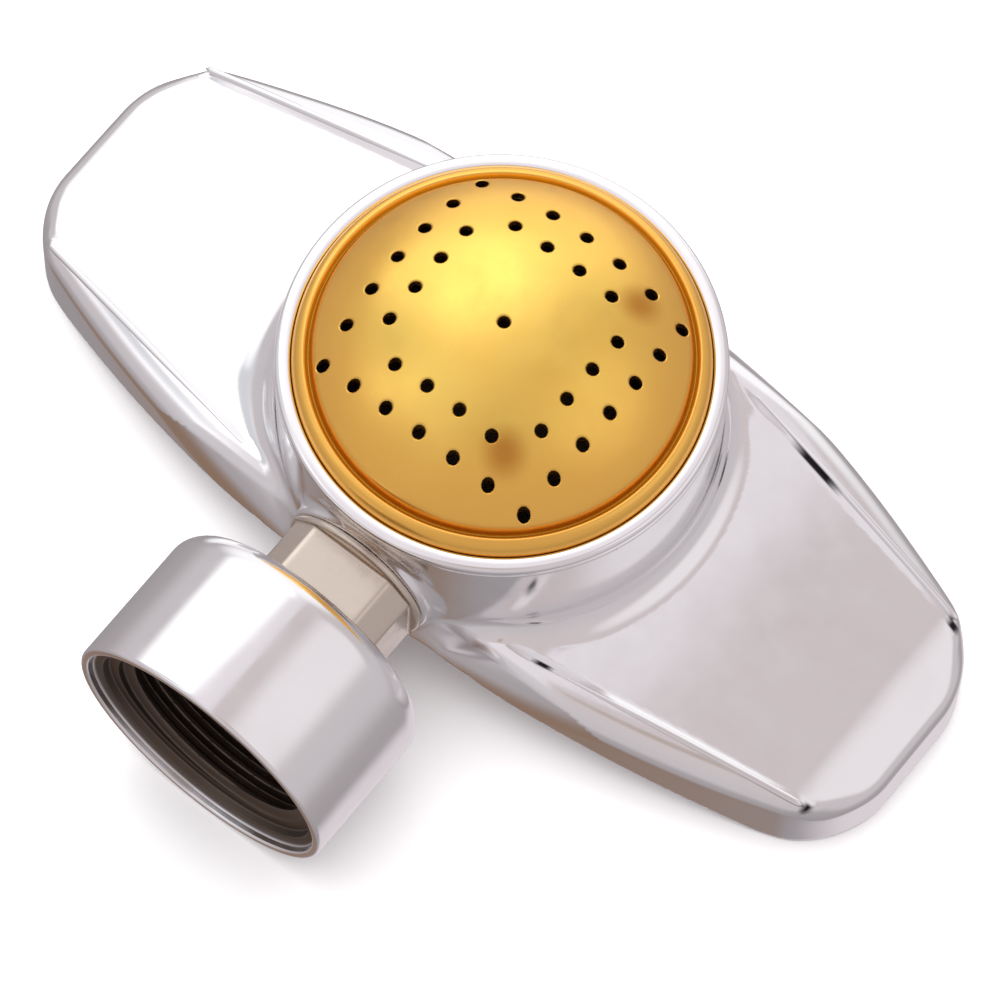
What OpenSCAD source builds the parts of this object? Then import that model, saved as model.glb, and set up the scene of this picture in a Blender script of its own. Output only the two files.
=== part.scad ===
// Spot lawn sprinkler: a die-cast body on two wing feet, a domed spray plate
// with a square hole pattern, and a female hose swivel on a bevelled fitting.
// Millimetres, +Z up, +X along the wings. The origin is where the axis of the
// drum meets the ground; the hose leaves along -Y.

/* [Wings] */
// Length over both wing tips
wing_span = 122; // [100:1:160]
// Width across the wings at the drum
wing_w = 53; // [48:0.5:64]
// Bow of each long side, in mm per mm squared
side_bow = 0.0035; // [0.001:0.0005:0.005]
// Radius of the four plan corners
corner_r = 7.5; // [4:0.5:12]
// Height of the wing's top plane, carried in to the drum axis
wing_top_z = 16.4; // [14:0.2:22]
// Fall of the top plane towards the tip, in mm per mm
wing_fall = 0.102; // [0:0.01:0.15]
// Rise of the arch under the middle
arch_rise = 8.6; // [4:0.2:9]
// Half-length at which the arch meets the ground
arch_half = 52; // [40:1:56]
// Width of the rounded shoulder round the top
shoulder_w = 2.8; // [1:0.2:4]
// Drop of the rounded shoulder
shoulder_drop = 2.4; // [1:0.2:4]
// Casting wall thickness
wall = 2.5; // [2:0.1:3.5]
// Depth of the recessed panel in each wing top
panel_depth = 0.7; // [0.3:0.1:1]
// Width of the raised border beside the panel
panel_border = 0.8; // [0.4:0.1:2]
// Width of the bevelled band beyond the panel's end
end_band = 4.7; // [3:0.1:8]
// Drop of that band to the wing's tip
end_drop = 1.8; // [1:0.2:5]

/* [Drum] */
// Outer diameter of the drum
drum_d = 51.6; // [51.4:0.2:56]
// Height of the drum's top face
drum_top_z = 30; // [29:0.2:34]
// Diameter of the water chamber
chamber_d = 43; // [40:0.5:44]
// Radius of the fillet between drum and wings
drum_fillet = 5.5; // [3:0.5:7]

/* [Spray plate] */
// Visible diameter of the plate
plate_d = 48; // [47.6:0.1:48.2]
// Height of the dome above the plate's rim
dome_h = 11.7; // [8:0.1:14]
// Sheet thickness
plate_t = 1.2; // [0.8:0.1:1.4]
// Diameter of one spray hole
spray_hole_d = 1.55; // [1:0.05:2]
// Spacing of the holes in the outer square
outer_pitch = 4.8; // [4:0.1:5]
// Distance from the axis to the middle of an outer row
outer_offset = 15.2; // [13:0.1:16]
// Spacing of the holes in the inner rows
inner_pitch = 4.6; // [4:0.1:5]
// Distance from the axis to an inner row
inner_offset = 10.85; // [9:0.05:12]

/* [Hose swivel] */
// Height of the hose axis
hose_z = 17.6; // [17.4:0.1:19]
// Outer diameter of the nut
nut_d = 34.8; // [32:0.2:34.8]
// Position of the nut's mouth along -Y
mouth_y = 54.7; // [54:0.1:56]
// Length of the nut
nut_len = 19.7; // [19:0.1:20]
// Rounding of the nut's back shoulder
nut_round = 3.5; // [2:0.5:4.5]
// Minor diameter of the 3/4 in hose thread
thread_minor_d = 24.6; // [24.4:0.1:24.8]
// Major diameter of the 3/4 in hose thread
thread_major_d = 27.2; // [27:0.1:27.4]
// Thread pitch, 11.5 threads to the inch
thread_pitch = 2.209; // [2.2:0.001:2.22]
// Width of the fitting's neck
neck_w = 16.4; // [15:0.2:17]
// Height of the fitting's neck
neck_h = 14.4; // [13:0.2:16]
// Bevel along each corner of the neck
neck_bevel = 2.8; // [1.5:0.1:3.4]
// Diameter of the waterway
waterway_d = 9.6; // [8:0.2:10]

/* [Hidden] */

chrome = "gainsboro";
brass = "goldenrod";
rubber = "dimgray";

eps = 0.01;
half_span = wing_span / 2;
drum_r = drum_d / 2;
chamber_r = chamber_d / 2;
floor_t = 2.5;
drum_bottom_z = arch_rise + 0.4;
chamber_floor_z = drum_bottom_z + floor_t;
waist_y = wing_w / 2 + 0.5;
waist_z = drum_bottom_z + 0.5;
waist_run = 12;
plate_ledge = 0.4;
ring_round = 0.7;
lip_chamfer = 0.3;

// The gasket, the plate's rim and the ring stack up from a ledge in the drum.
ledge_z = drum_top_z - 2;
gasket_t = 1.4;
rim_bottom_z = ledge_z + gasket_t;
rim_top_z = rim_bottom_z + plate_t;
rim_r = plate_d / 2 + 0.25;
seat_gap = 0.05;
skirt_t = 0.6;
skirt_inner_r = rim_r + 2 * seat_gap;
skirt_outer_r = skirt_inner_r + skirt_t;
mouth_r = skirt_outer_r + seat_gap;
ring_top_z = rim_top_z + 0.7;
groove_r = 21.9;
groove_drop = 0.8;
dome_edge_r = 21.3;
band_r = plate_d / 2 - 1;
band_foot = 0.1;
crown_round = 0.58;
crown_steep = 0.41;
row_bow = 0.0038;
dome_gap = 1.15 * plate_t;

// Stations along -Y from the drum axis to the mouth of the nut.
boss_face_y = 26;
boss_r = 9.6;
spot_face_r = boss_r + 0.2;
seal_t = 0.9;
seal_r = 8.2;
seal_start_y = boss_face_y - seal_t;
collar_t = 1;
collar_r = 9.4;
neck_start_y = boss_face_y + collar_t;
nut_back_y = mouth_y - nut_len;
neck_end_y = nut_back_y - 0.4;
back_wall_t = 2.6;
swivel_gap = 0.3;
flange_start_y = nut_back_y + back_wall_t + swivel_gap;
flange_t = 1.6;
flange_end_y = flange_start_y + flange_t;
flange_r = 12;
washer_start_y = flange_end_y + swivel_gap;
washer_t = 2.8;
washer_end_y = washer_start_y + washer_t;
stem_r = 10;
swivel_bore_r = stem_r + 0.06;
spigot_r = 6.5;
spigot_end_y = chamber_r - 1;
waterway_r = waterway_d / 2;
relief_r = 13.8;
nut_r = nut_d / 2;
nut_edge = 0.8;
mouth_depth = 2.2;
mouth_steps = [16.3, 15];
minor_r = thread_minor_d / 2;
major_r = thread_major_d / 2;
thread_turns = 4;
crest_w = 0.7;
thread_end_y = mouth_y - mouth_depth;
thread_start_y = thread_end_y - crest_w - thread_turns * thread_pitch;
thread_root = 0.5;
thread_flank = (thread_pitch - crest_w - thread_root) / 2;

fine = 96;
arc_steps = 10;
bow_steps = 12;
dome_steps = 16;

// Half-width of the plan at x, pulled in by inset.
function half_w(x, inset) = wing_w / 2 - inset - side_bow * x * x;

// Where the bowed side runs into the corner arc, by two fixed-point steps.
function meet(inset) =
    let (c = half_span - corner_r, r = corner_r - inset)
    let (x1 = c + r * sin(atan(2 * side_bow * c)))
    c + r * sin(atan(2 * side_bow * x1));

// Corner arc of the +X +Y quarter, from the end round to the side.
function corner(inset) =
    let (xm = meet(inset), a = atan(2 * side_bow * xm), r = corner_r - inset)
    [for (i = [0 : arc_steps])
        let (t = i / arc_steps * (90 - a))
        [half_span - corner_r + r * cos(t), half_w(xm, inset) - r * cos(a) + r * sin(t)]];

// Bowed side of the same quarter, from the corner in to the middle.
function side(inset) =
    [for (i = [1 : bow_steps]) let (x = meet(inset) * (1 - i / bow_steps)) [x, half_w(x, inset)]];

function quarter(inset) = concat(corner(inset), side(inset));
function reversed(p) = [for (i = [len(p) - 1 : -1 : 0]) p[i]];
function mirror_y(p) = [for (q = p) [q.x, -q.y]];

// Plan of the +X wing.
module half_plan(inset) {
    polygon(concat(quarter(inset), reversed(mirror_y(quarter(inset)))));
}

// Height of the wing's top plane at x.
function top_z(x) = wing_top_z - wing_fall * x;

// Side view of one wing, up to a top plane lowered by drop, with its bevelled tip.
module half_profile(drop) {
    tip_x = half_span + eps;
    bevel_x = half_span - end_band;
    polygon([[-eps, 0], [tip_x, 0], [tip_x, top_z(tip_x) - end_drop - drop],
             [bevel_x, top_z(bevel_x) - drop], [-eps, wing_top_z - drop]]);
}

// One wing as a prism: a plan below a sloping top plane.
module wing_prism(inset, drop) {
    intersection() {
        linear_extrude(drum_top_z) half_plan(inset);
        rotate([90, 0, 0])
            translate([0, 0, -wing_w])
                linear_extrude(2 * wing_w) half_profile(drop);
    }
}

// Solid wing with its shoulder, before the arch is cut.
module wing_blank() {
    hull() {
        wing_prism(0, shoulder_drop, $fn = 32);
        wing_prism(shoulder_w, 0, $fn = 32);
    }
}

// Prism under the arch between the two feet.
module arch_void() {
    rotate([90, 0, 0])
        translate([0, 0, -wing_w])
            linear_extrude(2 * wing_w)
                polygon(concat([[-arch_half, -1]],
                    [for (i = [-bow_steps : bow_steps])
                        let (x = arch_half * i / bow_steps)
                        [x, arch_rise * (1 - pow(i / bow_steps, 2))]],
                    [[arch_half, -1]]));
}

// Recessed panel in the top of the +X wing, following its taper.
module panel_void() {
    start_x = chamber_r - 1;
    end_x = half_span - end_band;
    inset = shoulder_w + panel_border;
    rotate([0, atan(wing_fall), 0])
        translate([0, 0, wing_top_z * cos(atan(wing_fall)) - panel_depth])
            linear_extrude(panel_depth + 1)
                polygon([[start_x, -half_w(start_x, inset)], [end_x, -half_w(end_x, inset)],
                         [end_x, half_w(end_x, inset)], [start_x, half_w(start_x, inset)]]);
}

// Slope that blends the side of the drum down to the edge of the casting.
module waist_void() {
    translate([0, -waist_y, waist_z])
        rotate([45, 0, 0])
            translate([-half_span, -wing_w, 0])
                cube([wing_span, wing_w + waist_run, wing_w]);
}

// Hollow under one wing, open below.
module wing_hollow() {
    difference() {
        translate([0, 0, -1])
            wing_prism(shoulder_w + wall, wall - 1 + panel_depth);
        cylinder(h = drum_top_z, r = drum_r, $fn = fine);
    }
}

module concave_fillet() {
    intersection() {
        translate([0, 0, top_z(drum_r) - 1])
            rotate_extrude($fn = fine)
                difference() {
                    translate([drum_r - 1, 0])
                        square([drum_fillet + 1, drum_fillet + 1]);
                    translate([drum_r + drum_fillet, drum_fillet + 1])
                        circle(r = drum_fillet, $fn = fine);
                }
        linear_extrude(drum_top_z)
            for (s = [0, 1]) mirror([s, 0]) half_plan(shoulder_w);
    }
}

module body_casting() {
    color(chrome)
    difference() {
        union() {
            difference() {
                union() {
                    difference() {
                        for (s = [0, 1]) mirror([s, 0, 0]) wing_blank();
                        for (s = [0, 1]) mirror([s, 0, 0]) panel_void();
                    }
                    concave_fillet();
                }
                for (s = [0, 1]) mirror([0, s, 0]) waist_void();
            }
            translate([0, 0, drum_bottom_z])
                cylinder(h = drum_top_z - drum_bottom_z, r = drum_r, $fn = fine);
            along_hose(chamber_r)
                cylinder(h = boss_face_y - chamber_r, r = boss_r, $fn = fine);
        }
        arch_void();
        for (s = [0, 1]) mirror([s, 0, 0]) wing_hollow();
        translate([0, 0, chamber_floor_z])
            cylinder(h = drum_top_z, r = chamber_r, $fn = fine);
        translate([0, 0, ledge_z])
            cylinder(h = drum_top_z, r = mouth_r, $fn = fine);
        along_hose(spigot_end_y - 2)
            cylinder(h = boss_face_y, r = spigot_r + seat_gap, $fn = fine);
        along_hose(seal_start_y)
            cylinder(h = boss_face_y, r = seal_r + seat_gap, $fn = fine);
        along_hose(boss_face_y)
            cylinder(h = boss_face_y, r = spot_face_r, $fn = fine);
    }
}

module plate_gasket() {
    color(rubber)
    translate([0, 0, ledge_z])
        difference() {
            cylinder(h = gasket_t, r = rim_r, $fn = fine);
            translate([0, 0, -eps])
                cylinder(h = gasket_t + 2 * eps, r = chamber_r + 0.2, $fn = fine);
        }
}

// Height of the dome above the rim's top face at radius r.
function dome_z(r) =
    let (q = r / (plate_d / 2))
    dome_h * (1 - crown_round * pow(q, 2) - crown_steep * pow(q, 4));

// Distance from the axis to a hole in the slightly bowed outer row.
function outer_row_y(x) = outer_offset - row_bow * x * x;

module spray_hole(x, y) {
    translate([x, y, ledge_z])
        cylinder(h = 2 * dome_h, d = spray_hole_d, $fn = 24);
}

// Half section of the plate: its rim lies flat under the retaining ring.
module plate_profile() {
    groove_z = dome_z(dome_edge_r) - groove_drop;
    band_w = plate_d / 2 - seat_gap - band_r;
    polygon(concat(
        [for (i = [0 : dome_steps]) let (r = dome_edge_r * i / dome_steps) [r, rim_top_z + dome_z(r)]],
        [[groove_r, rim_top_z + groove_z]],
        [for (t = [90 : -15 : 0])
            [band_r + band_w * cos(t), rim_top_z + groove_z * (band_foot + (1 - band_foot) * sin(t))]],
        [[band_r + band_w, rim_top_z], [rim_r, rim_top_z]],
        [[rim_r, rim_bottom_z], [chamber_r + plate_ledge, rim_bottom_z]],
        [for (i = [dome_steps : -1 : 0]) let (r = (dome_edge_r - plate_t / 2) * i / dome_steps)
            [r, rim_top_z + dome_z(r) - dome_gap]]));
}

module spray_plate() {
    color(brass)
    difference() {
        rotate_extrude($fn = fine) plate_profile();
        spray_hole(0, 0);
        for (side = [0 : 3]) rotate([0, 0, 90 * side]) {
            for (i = [-2 : 3]) spray_hole(i * outer_pitch, outer_row_y(i * outer_pitch));
            for (i = [-1.5 : 1.5]) spray_hole(i * inner_pitch, inner_offset);
        }
    }
}

module plate_retaining_ring() {
    lip_r = plate_d / 2;
    color(chrome)
    rotate_extrude($fn = fine)
        polygon(concat(
            [[skirt_inner_r, ledge_z + plate_ledge], [skirt_outer_r, ledge_z + plate_ledge],
             [skirt_outer_r, drum_top_z], [drum_r, drum_top_z]],
            [for (t = [0 : 15 : 90])
                [drum_r - ring_round * (1 - cos(t)), ring_top_z - ring_round * (1 - sin(t))]],
            [[lip_r + lip_chamfer, ring_top_z], [lip_r, ring_top_z - lip_chamfer],
             [lip_r, rim_top_z + seat_gap], [skirt_inner_r, rim_top_z + seat_gap]]));
}

// Puts its children's +Z along the hose axis, starting y in front of the drum axis.
module along_hose(y) {
    translate([0, -y, hose_z])
        rotate([90, 0, 0])
            children();
}

module fitting_seal() {
    color(rubber)
    along_hose(seal_start_y)
        difference() {
            cylinder(h = seal_t, r = seal_r, $fn = fine);
            translate([0, 0, -eps])
                cylinder(h = seal_t + 2 * eps, r = spigot_r + seat_gap, $fn = fine);
        }
}

// Section of the neck: a rectangle with bevelled corners.
module neck_section() {
    w = neck_w / 2;
    h = neck_h / 2;
    b = neck_bevel;
    polygon([[w - b, h], [-w + b, h], [-w, h - b], [-w, -h + b],
             [-w + b, -h], [w - b, -h], [w, -h + b], [w, h - b]]);
}

module inlet_fitting() {
    color(chrome)
    difference() {
        union() {
            along_hose(spigot_end_y)
                cylinder(h = boss_face_y - spigot_end_y, r = spigot_r, $fn = fine);
            along_hose(boss_face_y)
                cylinder(h = collar_t, r = collar_r, $fn = fine);
            along_hose(neck_start_y)
                linear_extrude(neck_end_y - neck_start_y) neck_section();
            along_hose(neck_end_y)
                cylinder(h = flange_end_y - neck_end_y, r = stem_r, $fn = fine);
            along_hose(flange_start_y)
                cylinder(h = flange_t, r = flange_r, $fn = fine);
        }
        along_hose(spigot_end_y - 1)
            cylinder(h = flange_end_y, r = waterway_r, $fn = fine);
    }
}

// Half section of the nut: x is the radius, y the distance along the hose axis.
module nut_profile() {
    polygon(concat(
        [[swivel_bore_r, nut_back_y]],
        [for (t = [90 : -11.25 : 0])
            [nut_r - nut_round + nut_round * cos(t), nut_back_y + nut_round * (1 - sin(t))]],
        [[nut_r, mouth_y - nut_edge], [nut_r - nut_edge, mouth_y],
         [mouth_steps[0], mouth_y], [mouth_steps[0], mouth_y - mouth_depth / 2],
         [mouth_steps[1], mouth_y - mouth_depth / 2], [mouth_steps[1], thread_end_y],
         [minor_r, thread_end_y], [minor_r, thread_end_y - crest_w]],
        [for (i = [thread_turns - 1 : -1 : 0]) let (y = thread_start_y + i * thread_pitch)
            each [[major_r, y + crest_w + thread_flank + thread_root],
                  [major_r, y + crest_w + thread_flank],
                  [minor_r, y + crest_w],
                  [minor_r, y]]],
        [[relief_r, thread_start_y], [relief_r, nut_back_y + back_wall_t],
         [swivel_bore_r, nut_back_y + back_wall_t]]));
}

module coupling_nut() {
    color(chrome)
    along_hose(0)
        rotate_extrude($fn = fine) nut_profile();
}

module hose_washer() {
    color(rubber)
    along_hose(washer_start_y)
        difference() {
            cylinder(h = washer_t, r = relief_r - 0.02, $fn = fine);
            translate([0, 0, -eps])
                cylinder(h = washer_t + 2 * eps, r = waterway_r + 3, $fn = fine);
        }
}

body_casting();
plate_gasket();
spray_plate();
plate_retaining_ring();
fitting_seal();
inlet_fitting();
coupling_nut();
hose_washer();
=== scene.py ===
"""Looks of the lawn spot sprinkler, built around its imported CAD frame.

Lengths are in millimetres in the CAD's frame until a mesh is made, which is in metres.
"""

import math

import bpy
import numpy as np
from mathutils import Matrix, Vector
from mathutils.geometry import delaunay_2d_cdt


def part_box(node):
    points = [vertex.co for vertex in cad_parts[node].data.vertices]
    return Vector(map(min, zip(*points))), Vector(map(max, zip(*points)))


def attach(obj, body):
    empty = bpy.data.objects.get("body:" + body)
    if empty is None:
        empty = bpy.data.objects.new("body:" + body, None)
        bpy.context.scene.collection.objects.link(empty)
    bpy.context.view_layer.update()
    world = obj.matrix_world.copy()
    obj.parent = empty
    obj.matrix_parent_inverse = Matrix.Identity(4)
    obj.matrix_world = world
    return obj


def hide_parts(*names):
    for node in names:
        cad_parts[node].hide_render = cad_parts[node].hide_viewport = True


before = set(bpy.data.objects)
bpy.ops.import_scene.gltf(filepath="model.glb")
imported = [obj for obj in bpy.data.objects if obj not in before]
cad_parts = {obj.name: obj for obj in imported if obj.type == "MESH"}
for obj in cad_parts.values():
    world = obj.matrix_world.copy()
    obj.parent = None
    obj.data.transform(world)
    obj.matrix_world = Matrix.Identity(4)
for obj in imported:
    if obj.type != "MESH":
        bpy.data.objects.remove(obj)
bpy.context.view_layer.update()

MM = 0.001


# ---------------------------------------------------------------- dimensions from the frame

def box_mm(node):
    """Lowest and highest corner of a CAD node, in millimetres."""
    lo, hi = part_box(node)
    return np.array(lo) / MM, np.array(hi) / MM


casting_lo, casting_hi = box_mm("body_casting")
plate_hi = box_mm("spray_plate")[1]
ring_lo, ring_hi = box_mm("plate_retaining_ring")
gasket_lo, gasket_hi = box_mm("plate_gasket")
seal_lo, seal_hi = box_mm("fitting_seal")
fitting_lo, fitting_hi = box_mm("inlet_fitting")
nut_lo, nut_hi = box_mm("coupling_nut")
washer_lo, washer_hi = box_mm("hose_washer")

HALF_SPAN = casting_hi[0]
DRUM_TOP = casting_hi[2]
DRUM_R = ring_hi[0]
RIM_R = plate_hi[0]
RIM_BOTTOM = gasket_hi[2]
HOSE_Z = (nut_lo[2] + nut_hi[2]) / 2
NUT_R = (nut_hi[0] - nut_lo[0]) / 2
MOUTH_Y = -nut_lo[1]
NUT_BACK_Y = -nut_hi[1]
SEAL_START_Y = -seal_hi[1]
BOSS_FACE_Y = -seal_lo[1]
SEAL_R = seal_hi[0]
FLANGE_R = fitting_hi[0]
FLANGE_END_Y = -fitting_lo[1]
SPIGOT_END_Y = -fitting_hi[1]
WASHER_START_Y = -washer_hi[1]
WASHER_END_Y = -washer_lo[1]
WASHER_R = washer_hi[0]

# The casting: its outline, the wings' heights, the arch between the feet, and the wings' panels.
# A panel starts and ends at a distance from the middle, with a half-width at each.
HALF_WIDTH = 26.5
SIDE_BOW = 0.0035
CORNER_R = 7.5
WING_TOP = 16.4
WING_FALL = 0.102
WING_WALL = 5.0
WING_ROOF = 3.2
CROWN = 0.0011
END_SLOPE = 0.36
ARCH_RISE = 8.6
ARCH_HALF = 52.0
PANEL_START = (20.0, 21.2)
PANEL_END = (56.3, 14.4)
PANEL_DEPTH = 0.5
PANEL_RAMP = (15, 23)
PANEL_RUN_OUT = (-1.0, 0.4)
PANEL_BORDER = (-0.3, 1.3)
BEAD_R = 0.46
CHAMBER_R = 21.5
CHAMBER_FLOOR = 11.5
SEAT_R = RIM_R + 0.8
BOSS_R = 9.7
SPOT_FACE_R = BOSS_R + 0.2

# The low edge of the casting beside the drum: how far out it starts, its height over the arch,
# its rise and bend inwards, and the scale that makes its field nearly a true distance.
WAIST_OUT = 0.6
WAIST_LIP = 1.2
WAIST_RISE = 0.75
WAIST_BEND = 0.045
WAIST_SCALE = 1.45

# Radii of the casting's fillets and edges. The fillet between wing and drum is larger on the left,
# and smaller towards the sides. The shoulder's radius gets less from one distance to another.
LEFT_FILLET = 5.8
RIGHT_FILLET = 3.5
FILLET_CHANGE = 8
SIDE_FILLET = 2.0
SIDE_FILLET_RUN = (13, 24)
OUTLINE_FILLET = 2.0
BOSS_FILLET = 1.3
SHOULDER_R = 3.2
SHOULDER_STEPS = [(44, 57, 0.7), (57.5, 60.5, 1.1)]
CREASE_R = 1.0
WAIST_EDGE_R = 1.2
DRUM_EDGE_R = 0.3
BOSS_EDGE_R = 0.6
FOOT_EDGE_R = 0.6
HOLLOW_TOP_R = 2.0
HOLLOW_INNER_R = 1.5
HOLLOW_RIM_R = 0.5

# The fitting's spigot, collar, bevelled neck and waterway.
SPIGOT_R = 6.5
COLLAR_R = 9.4
NECK_HALF_W = 8.2
NECK_HALF_H = 7.2
NECK_BEVEL = 2.8
WATERWAY_R = 4.8

# The spray plate: a dome, then a groove, then a rolled band that ends inside the ring.
PLATE_R = RIM_R - 0.25
SHEET = 1.2
HOLE_R = 0.78
LIP_DEPTH = 0.16
LIP_WIDTH = 0.18
DOME_RISE = 11.7
DOME_EDGE_R = 21.3
GROOVE_R = 21.9
GROOVE_DEPTH = 0.85
GROOVE_WIDTH = 0.34
BAND_START = 22.1
BAND_END = PLATE_R - 0.05

# Painted shade beside the beads: dark strokes along each bead's outer side. Each stroke has the signs of x
# and y, its start and end along the wing, how far outside the bead's line it lies, and its half-width.
SHADE_STROKES = [(1, -1, 21.3, 24.0, -0.1, 0.42), (1, -1, 55.4, 56.5, -0.1, 0.95),
           (1, 1, 27.5, 36.5, -0.5, 0.45), (1, 1, 54.6, 56.6, -0.7, 0.6),
           (-1, -1, 56.4, 57.2, 0.2, 0.6)]

# Painted dark reflections on the plate, as brown spots: x, y and reach.
REFLECTION_SPOTS = [(9.2, -11.4, 3.6), (9.6, 12.6, 3.4)]


# ---------------------------------------------------------------- mesh helpers

def make_object(name, verts_mm, faces, material, body, normals=None):
    """A mesh object from points in millimetres, riding on a body of the frame."""
    mesh = bpy.data.meshes.new(name)
    mesh.from_pydata((np.asarray(verts_mm) * MM).tolist(), [], faces)
    mesh.update()
    mesh.polygons.foreach_set("use_smooth", [True] * len(mesh.polygons))
    if normals is not None:
        mesh.normals_split_custom_set_from_vertices(np.asarray(normals).tolist())
    obj = bpy.data.objects.new(name, mesh)
    bpy.context.scene.collection.objects.link(obj)
    mesh.materials.append(material)
    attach(obj, body)
    return obj


def rounded(points, steps=6):
    """Closed profile through (a, b, radius) corners, with each corner made an arc."""
    out = []
    count = len(points)
    for i, (a, b, radius) in enumerate(points):
        here = np.array([a, b])
        before = np.array(points[i - 1][:2]) - here
        after = np.array(points[(i + 1) % count][:2]) - here
        if radius <= 0:
            out.append(here)
            continue
        before_len, after_len = np.linalg.norm(before), np.linalg.norm(after)
        before, after = before / before_len, after / after_len
        half = math.acos(np.clip(before @ after, -1, 1)) / 2
        reach = min(radius / math.tan(half), 0.49 * before_len, 0.49 * after_len)
        radius = reach * math.tan(half)
        middle = before + after
        centre = here + middle / np.linalg.norm(middle) * radius / math.sin(half)
        start, end = here + before * reach - centre, here + after * reach - centre
        turn = math.acos(np.clip(start @ end / radius ** 2, -1, 1))
        for k in range(steps + 1):
            t = k / steps
            w0, w1 = math.sin((1 - t) * turn) / math.sin(turn), math.sin(t * turn) / math.sin(turn)
            out.append(centre + w0 * start + w1 * end)
    return np.array(out)


def grid_faces(rows, columns, closed_rows=True):
    """Quads of a grid whose columns wrap round, and whose rows do too if closed_rows."""
    faces = []
    for i in range(rows if closed_rows else rows - 1):
        for j in range(columns):
            a, b = i * columns + j, i * columns + (j + 1) % columns
            c, d = ((i + 1) % rows) * columns + (j + 1) % columns, ((i + 1) % rows) * columns + j
            faces.append((a, b, c, d))
    return faces


def fix_winding(points, faces):
    """Turns every face over if the closed mesh is inside out."""
    tri = [(f[0], f[1], f[2]) for f in faces]
    tri += [(f[0], f[2], f[3]) for f in faces if len(f) == 4]
    a, b, c = (points[np.array(tri)[:, k]] for k in range(3))
    volume = np.einsum("ij,ij->i", a, np.cross(b, c)).sum()
    return faces if volume > 0 else [tuple(reversed(f)) for f in faces]


def place(a, b, h, axis):
    """Points from coordinates across and along the spray axis ("z") or the hose axis ("y")."""
    if axis == "z":
        points = np.stack([a, b, h], -1)
    else:
        points = np.stack([a, -h, HOSE_Z + b], -1)
    return points.reshape(-1, 3)


def swept(name, rows, segments, axis, material, body, sharp=40):
    """A closed piece from rows of (radius, distance) round an axis, with edges sharper than sharp degrees.

    A row's radius or distance is one number, or an array with a number for each segment.
    """
    t = np.arange(segments) * 2 * math.pi / segments
    radius = np.array([r + 0 * t for r, _ in rows])
    along = np.array([h + 0 * t for _, h in rows])
    points = place(radius * np.cos(t), radius * np.sin(t), along, axis)
    faces = fix_winding(points, grid_faces(len(rows), segments))
    obj = make_object(name, points, faces, material, body)
    obj.data.set_sharp_from_angle(angle=math.radians(sharp))
    return obj


def turned(name, corners, axis, material, body, replaces, segments=192):
    """A turned piece with rounded corners that replaces a CAD node."""
    obj = swept(name, rounded(corners), segments, axis, material, body)
    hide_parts(replaces)


# ---------------------------------------------------------------- casting, as a distance field

def join_round(a, b, r):
    """Union of two distance fields with a fillet of radius r."""
    return np.maximum(r, np.minimum(a, b)) - np.hypot(np.maximum(r - a, 0), np.maximum(r - b, 0))


def meet_round(a, b, r):
    """Intersection of two distance fields with an edge rounded to radius r."""
    return np.minimum(-r, np.maximum(a, b)) + np.hypot(np.maximum(r + a, 0), np.maximum(r + b, 0))


def ease(x, lo, hi):
    """Smooth step from 0 at lo to 1 at hi."""
    t = np.clip((x - lo) / (hi - lo), 0, 1)
    return t * t * (3 - 2 * t)


def panel_line(ax):
    """Half-width of the recessed panel at a distance ax from the middle."""
    (x0, y0), (x1, y1) = PANEL_START, PANEL_END
    return y0 + (y1 - y0) * (ax - x0) / (x1 - x0)


def wing_height(ax, ay):
    """Height of the wing's top: crowned, with a recessed panel that runs out over the wing's end."""
    line = WING_TOP - WING_FALL * ax + CROWN * (ax - PANEL_START[0]) * (PANEL_END[0] - ax)
    crown = line - CROWN * np.minimum(ay, HALF_WIDTH) ** 2
    past_end = ease(ax - PANEL_END[0], *PANEL_RUN_OUT)
    inside = np.maximum(ease(panel_line(ax) - ay, *PANEL_BORDER), past_end)
    return crown - PANEL_DEPTH * inside * ease(ax, *PANEL_RAMP)


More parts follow.
